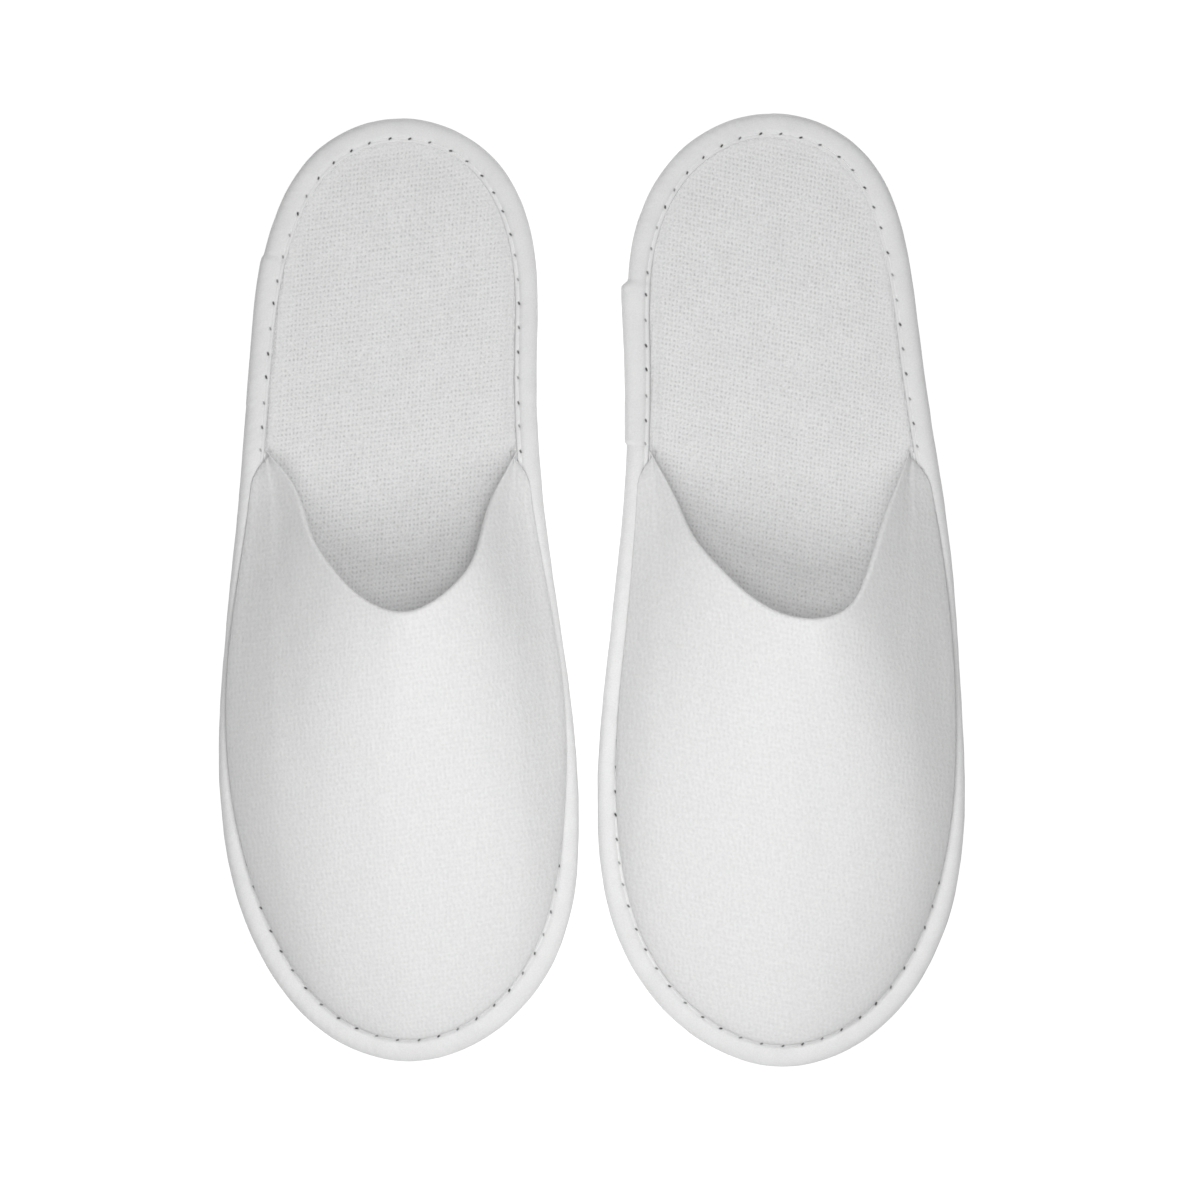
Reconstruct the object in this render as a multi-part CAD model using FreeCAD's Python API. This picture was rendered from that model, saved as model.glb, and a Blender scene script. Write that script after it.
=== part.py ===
"""A pair of closed-toe spa slippers, side by side on the floor. Millimetres.

X runs across the pair, Y from the toes (-) to the heels (+), Z up from the floor.
Each slipper is a flat sole of three layers and an upper of three layers. A tape folded
over the whole edge of the sole holds them together, with one lockstitch seam.
"""

import FreeCAD
import Part

import math
import os

from FreeCAD import Vector

# ---- Driving dimensions -------------------------------------------------------------

# The outer edge of each slipper seen from above, anticlockwise from the heel.
RIGHT_OUTLINE = [
    (-57.9, 143.0),  # heel
    (-83.5, 132.8),
    (-97.6, 108.0),
    (-103.3, 72.0),
    (-107.8, 18.0),  # waist, outer side
    (-112.6, -36.0),
    (-111.7, -72.0),  # ball
    (-101.1, -109.0),
    (-79.6, -135.0),
    (-54.8, -142.8),  # toe
    (-27.5, -132.4),
    (-9.8, -109.0),
    (-3.8, -72.0),  # ball
    (-5.9, -36.0),
    (-13.5, 18.0),  # waist, inner side
    (-16.6, 72.0),
    (-18.2, 108.0),
    (-31.5, 132.8),
]
LEFT_OUTLINE = [
    (54.3, 144.5),  # heel
    (27.4, 133.6),
    (13.2, 109.0),
    (11.1, 72.0),
    (9.0, 18.0),  # waist, inner side
    (3.2, -36.0),
    (1.8, -70.0),  # ball
    (9.6, -109.0),
    (30.7, -134.8),
    (58.0, -144.4),  # toe
    (83.6, -135.6),
    (104.6, -109.0),
    (113.2, -64.0),  # ball
    (112.3, -36.0),
    (108.1, 18.0),  # waist, outer side
    (100.0, 72.0),
    (94.3, 109.0),
    (81.7, 133.6),
]

# The edge of each foot opening, from its tail on the -X side over the instep to its
# tail on the +X side: X, Y and height above the floor.
RIGHT_THROAT = [
    (-98.6, 42.0, 10.5),
    (-90.4, 32.5, 17.0),
    (-84.6, 17.0, 28.0),
    (-78.0, 7.0, 36.0),
    (-68.0, -2.5, 43.0),
    (-55.2, -6.4, 46.0),  # instep
    (-43.6, -0.8, 43.5),
    (-35.0, 9.0, 37.0),
    (-31.0, 22.0, 27.0),
    (-26.5, 34.0, 16.5),
    (-22.2, 42.0, 10.5),
]
LEFT_THROAT = [
    (17.2, 42.0, 10.5),
    (24.0, 30.0, 18.5),
    (29.8, 17.0, 28.5),
    (38.0, 7.0, 36.5),
    (50.0, -3.6, 43.0),
    (64.0, -8.4, 46.0),  # instep
    (75.6, -5.6, 43.5),
    (82.6, 5.0, 36.5),
    (87.6, 20.0, 26.5),
    (92.6, 33.0, 16.5),
    (96.2, 42.0, 10.5),
]

# Where the tape's end laps over its start, on the -X side: from Y to Y, and how far it swells.
RIGHT_LAP = (56.0, 101.0, 0.8)
LEFT_LAP = (44.5, 93.0, 2.0)

OUTSOLE_THICKNESS = 4.0
INSOLE_THICKNESS = 2.5
FOOTBED_THICKNESS = 1.5
SHELL_THICKNESS = 1.0
PADDING_THICKNESS = 2.5
LINING_THICKNESS = 0.5

# Where the upper's layers are squeezed flat between the footbed and the tape.
SHELL_SQUEEZED = 0.4
PADDING_SQUEEZED = 0.3
LINING_SQUEEZED = 0.3
SQUEEZE_GAP = 0.02  # above and below the squeezed edge
FLANGE_OUTER_INSET = 3.6
WALL_INSET = 8.6  # from the slipper's edge to the foot of the upper's wall
TAIL_Y = 42.0  # where both ends of the upper run out under the tape
TAIL_THINNING = 0.3  # share of its thickness that the upper keeps at its tails
TAIL_SHARE = 0.08  # share of the upper's edge over which each tail thins

# How far the upper's -X and +X sides swell outwards over the seam, and how that runs from
# tail (0) to toe (1).
RIGHT_BULGES = (8.0, 8.0)
LEFT_BULGES = (4.0, 8.2)
TAIL_BULGE = 5.2
TOE_BULGE_SHARE = 0.15
BULGE_STARTS_BY = 0.06
BULGE_SETTLES_BY = 0.3
BULGE_LOWNESS = 0.75  # below 1: the widest place lies below the middle of the wall
BULGE_POWER = 1.5  # above 1: the swelling starts gently at the foot

CROWN_STRAIGHTNESS = 0.22  # 0: the upper rises as a quarter ellipse, 1: as a straight line

TAPE_THICKNESS = 0.8
TAPE_LIP = 7.5  # width of the tape above and below, from the slipper's edge
TAPE_ROUNDING = 3.2
SEAM_INSET = 6.3  # from the slipper's edge to the seam
THREAD_DIAMETER = 0.4

FLEX_Y = -50.0  # the sole bends across the ball of the foot here

# ---- Worked out from them -----------------------------------------------------------

INSOLE_BOTTOM = OUTSOLE_THICKNESS
FOOTBED_BOTTOM = INSOLE_BOTTOM + INSOLE_THICKNESS
FOOTBED_TOP = FOOTBED_BOTTOM + FOOTBED_THICKNESS
TAPE_TOP = FOOTBED_TOP + TAPE_THICKNESS
UPPER_THICKNESS = SHELL_THICKNESS + PADDING_THICKNESS + LINING_THICKNESS
FLANGE_THICKNESS = SHELL_SQUEEZED + PADDING_SQUEEZED + LINING_SQUEEZED
FLANGE_TOP = FOOTBED_TOP - SQUEEZE_GAP
FLANGE_FLOOR = FLANGE_TOP - FLANGE_THICKNESS - SQUEEZE_GAP
REBATE_INSET = WALL_INSET + UPPER_THICKNESS + 0.3  # the footbed is cut back this far for the upper
PAST_ALL = 400.0  # reaches past the pair in every direction
LEVEL = 0.1  # an edge that rises less than this is a level one
CLOSE = 0.001  # how closely a distance along the outline is found

EDGE_POINTS = 48  # points that an inset copy of an outline passes through
NET_COLUMNS = 35  # control points round the upper, tail to tail
FLANGE_ROWS = 5
WALL_STEPS = (0.0, 0.008, 0.03, 0.08, 0.17, 0.3, 0.46, 0.64, 0.82, 1.0)  # control rows, seam to opening
FAN_POWER = 2.4  # above 1: the rows of points fan out towards the toe
NORMAL_REACH = 0.004  # share of the wall each side of a point over which its normal is taken
NEIGHBOUR_WEIGHT = 1 / 6  # a cubic spline's point takes this much of each neighbouring control point


def smooth_curve(points, closed):
    """A smooth curve through the points, which lie at height 0 unless they give one."""
    curve = Part.BSplineCurve()
    curve.interpolate(Points=[Vector(*p) for p in points], PeriodicFlag=closed)
    return curve


class Slipper:
    """One slipper's plan outline, the edge of its foot opening, its tape's lap and its bulges."""

    def __init__(self, name, outline, throat, lap, bulges):
        self.name = name
        self.lap = lap
        self.bulges = bulges
        self.rim = smooth_curve(outline, closed=True)
        self.rim_length = self.rim.length()
        self.throat = smooth_curve(throat, closed=False)
        self.throat_length = self.throat.length()
        self.tail_start = self.distance_where_rim_crosses(TAIL_Y, 0, self.rim_length / 2)
        self.tail_end = self.distance_where_rim_crosses(TAIL_Y, self.rim_length, self.rim_length / 2)

    def rim_point(self, distance, inset):
        """The point so far along the outline and so far inside it, and the direction inwards."""
        parameter = self.rim.parameterAtDistance(distance % self.rim_length, self.rim.FirstParameter)
        point, tangent = self.rim.getD1(parameter)
        inwards = Vector(-tangent.y, tangent.x, 0).normalize()
        return point + inwards * inset, inwards

    def distance_where_rim_crosses(self, y, heel_end, toe_end):
        """The distance along the outline, between a heel-side and a toe-side one, where it crosses y."""
        middle = (heel_end + toe_end) / 2
        while abs(heel_end - toe_end) > CLOSE:
            if self.rim_point(middle, 0)[0].y > y:
                heel_end = middle
            else:
                toe_end = middle
            middle = (heel_end + toe_end) / 2
        return middle

    def inset_face(self, inset):
        """The flat face inside the outline, moved in by an inset."""
        distances = [self.rim_length * i / EDGE_POINTS for i in range(EDGE_POINTS)]
        points = [self.rim_point(d, inset)[0] for d in distances]
        return Part.Face(Part.Wire(smooth_curve(points, closed=True).toShape()))

    def slab(self, inset, bottom, top):
        """A plate of the slipper's outline, moved in by an inset, between two heights."""
        face = self.inset_face(inset)
        face.translate(Vector(0, 0, bottom))
        return face.extrude(Vector(0, 0, top - bottom))

    def ring(self, outer_inset, inner_inset, bottom, top):
        """A band round the slipper between two insets and two heights."""
        return self.slab(outer_inset, bottom, top).cut(self.slab(inner_inset, bottom, top))


def with_round_edge(plate, radius):
    """The plate with its whole top and bottom edge rounded."""
    round_edges = [e for e in plate.Edges if e.BoundBox.ZLength < LEVEL]
    return plate.makeFillet(radius, round_edges)


def slice_space(low_y=-PAST_ALL, high_y=PAST_ALL, low_z=-PAST_ALL, high_z=PAST_ALL):
    """A box wide enough for the pair, between two Y values and two heights."""
    return Part.makeBox(2 * PAST_ALL, high_y - low_y, high_z - low_z, Vector(-PAST_ALL, low_y, low_z))


# ---- Sole, tape and seam ------------------------------------------------------------


def tape_space(slipper):
    """What the tape wraps: the sole's rounded edge, and the sole's full height inside the lips."""
    wrapped = slipper.slab(TAPE_THICKNESS, TAPE_THICKNESS, FOOTBED_TOP)
    wrapped = with_round_edge(wrapped, TAPE_ROUNDING - TAPE_THICKNESS)
    return wrapped.fuse(slipper.slab(TAPE_LIP, 0, TAPE_TOP))


def needle_thread(slipper):
    """The seam's top thread, sunk in the tape."""
    return slipper.ring(SEAM_INSET, SEAM_INSET + THREAD_DIAMETER, TAPE_TOP - THREAD_DIAMETER, TAPE_TOP)


def bobbin_thread(slipper):
    """The seam's bottom thread, sunk in the tape."""
    return slipper.ring(SEAM_INSET, SEAM_INSET + THREAD_DIAMETER, 0, THREAD_DIAMETER)


def tape_lap(slipper):
    """The thicker stretch of the tape, where its end lies over its start."""
    low_y, high_y, swell = slipper.lap
    distance = slipper.distance_where_rim_crosses((low_y + high_y) / 2, 0, slipper.rim_length / 2)
    edge_x = slipper.rim_point(distance, 0)[0].x
    reach = 2 * TAPE_LIP
    stretch = Part.makeBox(2 * reach, high_y - low_y, TAPE_TOP, Vector(edge_x - reach, low_y, 0))
    return with_round_edge(slipper.slab(-swell, 0, TAPE_TOP), TAPE_ROUNDING).common(stretch)


def edge_binding(slipper, space):
    """The tape folded over the edge of the sole and the upper."""
    roll = with_round_edge(slipper.slab(0, 0, TAPE_TOP), TAPE_ROUNDING).fuse(tape_lap(slipper))
    return roll.cut(space).cut(needle_thread(slipper)).cut(bobbin_thread(slipper))


def sole_layer(space, bottom, top):
    """The part of one sheet of the sole that fits inside the tape."""
    return space.common(slice_space(low_z=bottom, high_z=top))


def footbed(slipper, space):
    """The terry sheet, thinner where the upper's edge lies on it."""
    sheet = sole_layer(space, FOOTBED_BOTTOM, FOOTBED_TOP)
    upper_edge = slipper.ring(-1, REBATE_INSET, FLANGE_FLOOR, TAPE_TOP)
    return sheet.cut(upper_edge.common(slice_space(high_y=TAIL_Y)))


def sole_parts(slipper):
    """Every piece that bends with the sole, by name."""
    space = tape_space(slipper)
    return {
        "outsole": sole_layer(space, 0, INSOLE_BOTTOM),
        "insole_foam": sole_layer(space, INSOLE_BOTTOM, FOOTBED_BOTTOM),
        "footbed": footbed(slipper, space),
        "edge_binding": edge_binding(slipper, space),
        "needle_thread": needle_thread(slipper),
        "bobbin_thread": bobbin_thread(slipper),
    }


# ---- Upper --------------------------------------------------------------------------


def ease(value):
    """Runs smoothly from 0 to 1."""
    value = min(max(value, 0.0), 1.0)
    return value * value * (3 - 2 * value)


def fan(share):
    """Where on the opening's edge a column ends that starts at this share of the outline."""
    half = 1 - abs(2 * share - 1)
    reached = (1 - (1 - half) ** FAN_POWER) / 2
    return reached if share < 0.5 else 1 - reached


def bulge(slipper, share):
    """The most that the upper's side swells outwards at this share of the way from tail to tail."""
    to_toe = 1 - abs(2 * share - 1)
    side_bulge = slipper.bulges[0] if share < 0.5 else slipper.bulges[1]
    along = TAIL_BULGE + (side_bulge - TAIL_BULGE) * ease(to_toe / BULGE_SETTLES_BY)
    faded = 1 - (1 - TOE_BULGE_SHARE) * ease((to_toe - BULGE_SETTLES_BY) / (1 - BULGE_SETTLES_BY))
    return along * faded * ease(to_toe / BULGE_STARTS_BY)


def wall_point(slipper, share, step):
    """A point of the upper's outside: share runs from tail to tail, step from the seam to the opening."""
    distance = slipper.tail_start + (slipper.tail_end - slipper.tail_start) * share
    foot, inwards = slipper.rim_point(distance, WALL_INSET)
    along = slipper.throat_length * fan(share)
    top = slipper.throat.value(slipper.throat.parameterAtDistance(along, slipper.throat.FirstParameter))
    arch = math.sqrt(1 - (1 - step) ** 2)
    rise = (1 - CROWN_STRAIGHTNESS) * arch + CROWN_STRAIGHTNESS * step
    swelling = abs(math.sin(math.pi * rise**BULGE_LOWNESS)) ** BULGE_POWER
    swell = bulge(slipper, share) * swelling * (1 - step)
    point = foot + (top - foot) * step - inwards * swell
    point.z = FOOTBED_TOP + (top.z - FOOTBED_TOP) * rise
    return point


def outside_normal(slipper, share, step):
    """The direction out of the upper's outside at a point."""
    low = max(step - NORMAL_REACH, 0.0)
    high = min(step + NORMAL_REACH, 1.0)
    left = max(share - NORMAL_REACH, 0.0)
    right = min(share + NORMAL_REACH, 1.0)
    up = wall_point(slipper, share, high) - wall_point(slipper, share, low)
    across = wall_point(slipper, right, step) - wall_point(slipper, left, step)
    return across.cross(up).normalize()


def upper_column(slipper, share, wall_depth, flange_depth):
    """One column of points, from the flange's edge up the wall to the opening, so deep in the upper."""
    kept = TAIL_THINNING + (1 - TAIL_THINNING) * ease(min(share, 1 - share) / TAIL_SHARE)
    depth = wall_depth * kept
    distance = slipper.tail_start + (slipper.tail_end - slipper.tail_start) * share
    column = []
    for row in range(FLANGE_ROWS + 1):
        inset = FLANGE_OUTER_INSET + (WALL_INSET + depth - FLANGE_OUTER_INSET) * row / FLANGE_ROWS
        point = slipper.rim_point(distance, inset)[0]
        point.z = FLANGE_TOP - flange_depth
        column.append(point)
    for step in WALL_STEPS[1:]:
        normal = outside_normal(slipper, share, step)
        level = Vector(normal.x, normal.y, 0).normalize()
        lean = ease(step / WALL_STEPS[4])
        column.append(wall_point(slipper, share, step) - (level * (1 - lean) + normal * lean) * depth)
    if share in (0.0, 1.0):
        for point in column:
            point.y = TAIL_Y
    return column


def through_points(rows):
    """Control rows moved so that the surface passes through the rows' points, column by column."""
    moved = [rows[0]]
    for before, here, after in zip(rows, rows[1:], rows[2:]):
        moved.append([p + (p * 2 - a - b) * NEIGHBOUR_WEIGHT for p, a, b in zip(here, before, after)])
    return moved + [rows[-1]]


def clamped_knots(count, degree):
    """Knots and multiplicities of a clamped uniform spline with so many control points."""
    spans = count - degree
    return list(range(spans + 1)), [degree + 1] + [1] * (spans - 1) + [degree + 1]


def net_face(net):
    """The spline face of a net of control points, cubic each way where there are points enough."""
    degree_u = min(3, len(net) - 1)
    degree_v = min(3, len(net[0]) - 1)
    knots_u, mults_u = clamped_knots(len(net), degree_u)
    knots_v, mults_v = clamped_knots(len(net[0]), degree_v)
    surface = Part.BSplineSurface()
    surface.buildFromPolesMultsKnots(
        net, mults_u, mults_v, knots_u, knots_v, False, False, degree_u, degree_v
    )
    return surface.toShape()


def solid_between(outer, inner):
    """The closed solid between two nets of control points."""
    sides = [
        [outer[0], inner[0]],
        [outer[-1], inner[-1]],
        [[column[0] for column in outer], [column[0] for column in inner]],
        [[column[-1] for column in outer], [column[-1] for column in inner]],
    ]
    shell = Part.makeShell([net_face(net) for net in [outer, inner] + sides])
    shell.sewShape()
    solid = Part.makeSolid(shell)
    if solid.Volume < 0:
        solid.reverse()
    return solid


def upper_parts(slipper):
    """The three layers of the upper, by name."""
    under_shell = (SHELL_THICKNESS, SHELL_SQUEEZED)
    under_padding = (SHELL_THICKNESS + PADDING_THICKNESS, SHELL_SQUEEZED + PADDING_SQUEEZED)
    inside = (UPPER_THICKNESS, FLANGE_THICKNESS)
    shares = [column / (NET_COLUMNS - 1) for column in range(NET_COLUMNS)]
    nets = [
        through_points([upper_column(slipper, share, *depths) for share in shares])
        for depths in ((0.0, 0.0), under_shell, under_padding, inside)
    ]
    return {
        "upper_shell": solid_between(nets[0], nets[1]),
        "upper_padding": solid_between(nets[1], nets[2]),
        "upper_lining": solid_between(nets[2], nets[3]),
    }


# ---- The pair -----------------------------------------------------------------------


def slipper_parts(slipper):
    """All of one slipper's pieces, with the sole's cut where it bends at the ball of the foot."""
    parts = {}
    for name, shape in sole_parts(slipper).items():
        parts[f"{slipper.name}_{name}"] = shape.common(slice_space(low_y=FLEX_Y))
        parts[f"{slipper.name}_{name}_toe"] = shape.common(slice_space(high_y=FLEX_Y))
    for name, shape in upper_parts(slipper).items():
        parts[f"{slipper.name}_{name}"] = shape
    return parts


def main():
    parts = {}
    for slipper in (
        Slipper("right", RIGHT_OUTLINE, RIGHT_THROAT, RIGHT_LAP, RIGHT_BULGES),
        Slipper("left", LEFT_OUTLINE, LEFT_THROAT, LEFT_LAP, LEFT_BULGES),
    ):
        parts.update(slipper_parts(slipper))
    box = Part.makeCompound(list(parts.values())).BoundBox
    to_origin = Vector(-box.Center.x, -box.Center.y, -box.ZMin)
    os.makedirs("parts", exist_ok=True)
    for name, shape in parts.items():
        solid = shape.Solids[0] if len(shape.Solids) == 1 else shape
        solid.translate(to_origin)
        solid.exportStep(f"parts/{name}.step")
        print(f"{name}: {len(shape.Solids)} solid, {shape.Volume:.0f} mm3, valid {shape.isValid()}")
    print(f"moved by {to_origin.x:.3f}, {to_origin.y:.3f}, {to_origin.z:.3f}")
    print(f"size {box.XLength:.1f} x {box.YLength:.1f} x {box.ZLength:.1f}")


main()
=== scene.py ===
"""The looks of a pair of spa slippers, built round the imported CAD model.

Lengths are in millimetres, and meshes are turned into metres of the row frame at the
end: X across the pair, Y from toes to heels, Z up. The outlines, the foot openings and
the thicknesses are the design's own. Every sheet is a closed solid of its own.
"""

import math

import bpy
import numpy as np
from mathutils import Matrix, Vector


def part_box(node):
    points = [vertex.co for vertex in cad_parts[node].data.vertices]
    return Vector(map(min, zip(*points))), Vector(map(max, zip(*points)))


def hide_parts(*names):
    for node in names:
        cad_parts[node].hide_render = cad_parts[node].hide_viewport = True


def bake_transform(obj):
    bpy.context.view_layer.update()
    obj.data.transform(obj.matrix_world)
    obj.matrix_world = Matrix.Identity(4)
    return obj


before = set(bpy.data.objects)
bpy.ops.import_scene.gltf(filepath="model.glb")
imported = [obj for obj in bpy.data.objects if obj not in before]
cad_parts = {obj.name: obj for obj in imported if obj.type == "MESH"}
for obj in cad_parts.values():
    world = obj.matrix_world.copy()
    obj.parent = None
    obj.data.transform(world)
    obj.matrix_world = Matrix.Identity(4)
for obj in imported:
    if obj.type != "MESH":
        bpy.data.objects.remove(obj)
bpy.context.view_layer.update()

MM = 0.001

# ---- The design's lines and sizes ---------------------------------------------------

RIGHT_OUTLINE = [
    (-57.9, 143.0), (-83.5, 132.8), (-97.6, 108.0), (-103.3, 72.0), (-107.8, 18.0), (-112.6, -36.0),
    (-111.7, -72.0), (-101.1, -109.0), (-79.6, -135.0), (-54.8, -142.8), (-27.5, -132.4), (-9.8, -109.0),
    (-3.8, -72.0), (-5.9, -36.0), (-13.5, 18.0), (-16.6, 72.0), (-18.2, 108.0), (-31.5, 132.8),
]
LEFT_OUTLINE = [
    (54.3, 144.5), (27.4, 133.6), (13.2, 109.0), (11.1, 72.0), (9.0, 18.0), (3.2, -36.0),
    (1.8, -70.0), (9.6, -109.0), (30.7, -134.8), (58.0, -144.4), (83.6, -135.6), (104.6, -109.0),
    (113.2, -64.0), (112.3, -36.0), (108.1, 18.0), (100.0, 72.0), (94.3, 109.0), (81.7, 133.6),
]
RIGHT_THROAT = [
    (-98.6, 42.0, 10.5), (-90.4, 32.5, 17.0), (-84.6, 17.0, 28.0), (-78.0, 7.0, 36.0),
    (-68.0, -2.5, 43.0), (-55.2, -6.4, 46.0), (-43.6, -0.8, 43.5), (-35.0, 9.0, 37.0),
    (-31.0, 22.0, 27.0), (-26.5, 34.0, 16.5), (-22.2, 42.0, 10.5),
]
LEFT_THROAT = [
    (17.2, 42.0, 10.5), (24.0, 30.0, 18.5), (29.8, 17.0, 28.5), (38.0, 7.0, 36.5),
    (50.0, -3.6, 43.0), (64.0, -8.4, 46.0), (75.6, -5.6, 43.5), (82.6, 5.0, 36.5),
    (87.6, 20.0, 26.5), (92.6, 33.0, 16.5), (96.2, 42.0, 10.5),
]

# Where the tape's ends lap: from and to along Y, and how far the tape swells there. The right one
# swells less than in the design.
RIGHT_LAP = (56.0, 101.0, 0.6)
LEFT_LAP = (44.5, 93.0, 2.0)
LAP_TOE_RAMP = 1.2
LAP_HEEL_RAMP = 2.4

# The terry's loops: pitches, and the degrees by which rows rise and columns lean.
LOOP_PITCHES = (1.2, 1.5)
RIGHT_SLANTS = (8, -3)
LEFT_SLANTS = (-13, -4)
LOOP_HEIGHT = 0.45

OUTSOLE_TOP = 4.0
INSOLE_TOP = 6.5
FOOTBED_TOP = 8.0
SOLE_INSET = 1.6
FOOTBED_INSET = 4.0
SHEET_GAP = 0.02
TREAD_DEPTH = 0.5

TAPE_TOP = 8.8
TAPE_MIDDLE = 4.5
TAPE_THICKNESS = 0.8
TAPE_LIP = 7.5
SQUARENESS = 0.62  # 1: the tape's edge is an ellipse, less: it is flatter above and steeper outside

SEAM_INSET = 6.3
STITCH_PITCH = 7.5
STITCH_SLANT = 22
STITCH_MARGIN = 0.085  # of the pitch, from the hole to the thread
STITCH_DIP = 0.8
THREAD_RADIUS = 0.2
TOP_THREAD = TAPE_TOP - 0.18
UNDER_THREAD = 0.27
HOLE_LENGTH = 0.62
HOLE_WIDTH = 0.3

SHELL = 1.0
PADDING = 2.5
LINING = 0.5
UPPER = SHELL + PADDING + LINING
FLANGE = 1.0
FLANGE_ROWS = 5
FLANGE_OUTER_INSET = 3.6
WALL_INSET = 8.6
TAIL_Y = 42.0
TAIL_SHARE = 0.08
CROWN_STRAIGHTNESS = 0.22
FAN_POWER = 2.4

# The upper folds out over the tape here, lower and tighter than in the design, and its tails are
# thinner.
RIGHT_BULGES = (7.0, 7.0)
LEFT_BULGES = (4.0, 6.7)
TAIL_BULGE = 5.0
TOE_BULGE = 1.9
BULGE_STARTS_BY = 0.05
BULGE_SETTLES_BY = 0.3
BULGE_FADED_BY = 0.75
BULGE_LOWNESS = 0.33
BULGE_POWER = 1.5
OVER_TAPE = 1.2  # how far the fold rises to clear the tape
TAIL_THINNING = 0.14  # share of the thickness that is left at the tails
RECESS_START = 6.0  # the footbed is pressed down under the upper from so far past its tails


# ---- Curves -------------------------------------------------------------------------


def curve_samples(points, closed, count=4000):
    """Points close together along the smooth curve through the given points."""
    p = np.array(points, float)
    if closed:
        p = np.vstack([p, p[:1]])
    knot = np.r_[0, np.cumsum(np.linalg.norm(np.diff(p, axis=0), axis=1))]
    h = np.diff(knot)
    n = len(p)
    matrix = np.eye(n)
    right = np.zeros_like(p)
    slope = np.diff(p, axis=0) / h[:, None]
    for i in range(1, n - 1):
        matrix[i, i - 1 : i + 2] = h[i - 1], 2 * (h[i - 1] + h[i]), h[i]
        right[i] = 6 * (slope[i] - slope[i - 1])
    if closed:
        matrix[0, -1] = -1
        matrix[-1, [0, 1, -2, -1]] = 2 * h[0], h[0], h[-1], 2 * h[-1]
        right[-1] = 6 * (slope[0] - slope[-1])
    bend = np.linalg.solve(matrix, right)
    t = np.linspace(0, knot[-1], count)
    i = np.clip(np.searchsorted(knot, t, side="right") - 1, 0, n - 2)
    a = ((knot[i + 1] - t) / h[i])[:, None]
    b = 1 - a
    curve = a * p[i] + b * p[i + 1]
    return curve + ((a**3 - a) * bend[i] + (b**3 - b) * bend[i + 1]) * (h[i] ** 2)[:, None] / 6


class Line:
    """A smooth curve that is read by the distance along it."""

    def __init__(self, points, closed):
        self.points = curve_samples(points, closed)
        steps = np.linalg.norm(np.diff(self.points, axis=0), axis=1)
        self.distance = np.r_[0, np.cumsum(steps)]
        self.length = self.distance[-1]

    def at(self, distance):
        return np.stack([np.interp(distance, self.distance, column) for column in self.points.T], axis=-1)


def ease(value):
    """Runs smoothly from 0 to 1."""
    value = np.clip(value, 0.0, 1.0)
    return value * value * (3 - 2 * value)


def unit(vectors):
    return vectors / np.maximum(np.linalg.norm(vectors, axis=-1, keepdims=True), 1e-9)


def patchy(x, y, size, seed):
    """Smooth random values from -1 to 1 over a plane, in patches of about a size."""
    cells = 64
    table = np.random.RandomState(seed).uniform(-1, 1, (cells, cells))
    u = x / size
    v = y / size
    i = np.floor(u).astype(int)
    j = np.floor(v).astype(int)
    a = ease(u - i)
    b = ease(v - j)
    low = table[i % cells, j % cells] * (1 - a) + table[(i + 1) % cells, j % cells] * a
    high = table[i % cells, (j + 1) % cells] * (1 - a) + table[(i + 1) % cells, (j + 1) % cells] * a
    return low * (1 - b) + high * b


class Lattice:
    """A slanted grid in plan: its pitches, the rise of its rows and the lean of its columns."""

    def __init__(self, pitch_x, pitch_y, rise_degrees, lean_degrees):
        rise = math.radians(rise_degrees)
        lean = math.radians(lean_degrees)
        across = pitch_x * np.array([math.cos(rise), math.sin(rise)])
        along = pitch_y * np.array([-math.sin(lean), math.cos(lean)])
        self.steps = np.array([across, along])
        self.inverse = np.linalg.inv(self.steps)

    def plan(self, centre, column, row):
        return centre + column[..., None] * self.steps[0] + row[..., None] * self.steps[1]


class Slipper:
    """One slipper's lines, and where it stands in the row frame."""

    def __init__(self, side, outline, throat, lap, bulges, weave):
        self.side = side
        self.lap = lap
        self.bulges = bulges
        self.weave = weave
        self.rim = Line(outline, closed=True)
        self.throat = Line(throat, closed=False)
        tangent = unit(np.roll(self.rim.points, -2, axis=0) - np.roll(self.rim.points, 2, axis=0))
        self.inwards = np.stack([-tangent[:, 1], tangent[:, 0]], axis=-1)
        self.inwards[0] = self.inwards[-1] = unit(self.inwards[2] + self.inwards[-3])
        self.inwards[1] = self.inwards[-2] = self.inwards[0]
        half = len(self.rim.points) // 2
        y = self.rim.points[:, 1]
        self.tail_start = np.interp(-TAIL_Y, -y[:half], self.rim.distance[:half])
        self.tail_end = np.interp(TAIL_Y, y[half:], self.rim.distance[half:])
        nodes = [f"{side}_edge_binding", f"{side}_edge_binding_toe"]
        low_x = min(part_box(node)[0].x for node in nodes) / MM
        high_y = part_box(nodes[0])[1].y / MM
        self.shift = np.array([low_x - self.rim.points[:, 0].min(), high_y - y.max(), 0.0])

    def rim_at(self, distance, inset):
        """Points so far along the outline and so far inside it, at height 0."""
        distance = np.asarray(distance, float) % self.rim.length
        inwards = np.stack([np.interp(distance, self.rim.distance, c) for c in self.inwards.T], axis=-1)
        plan = self.rim.at(distance) + unit(inwards) * np.asarray(inset)[..., None]
        return np.concatenate([plan, np.zeros(plan.shape[:-1] + (1,))], axis=-1)

    def inset_of(self, x, y):
        """How far inside the outline each point is, negative outside it."""
        rim = self.rim.points[::10]
        inwards = self.inwards[::10]
        flat = np.stack([x.ravel(), y.ravel()], axis=-1)
        found = []
        for block in np.array_split(flat, max(1, len(flat) // 8000)):
            away = block[:, None, :] - rim[None]
            nearest = np.argmin((away**2).sum(-1), axis=1)
            found.append((away[np.arange(len(block)), nearest] * inwards[nearest]).sum(-1))
        return np.concatenate(found).reshape(x.shape)


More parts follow.
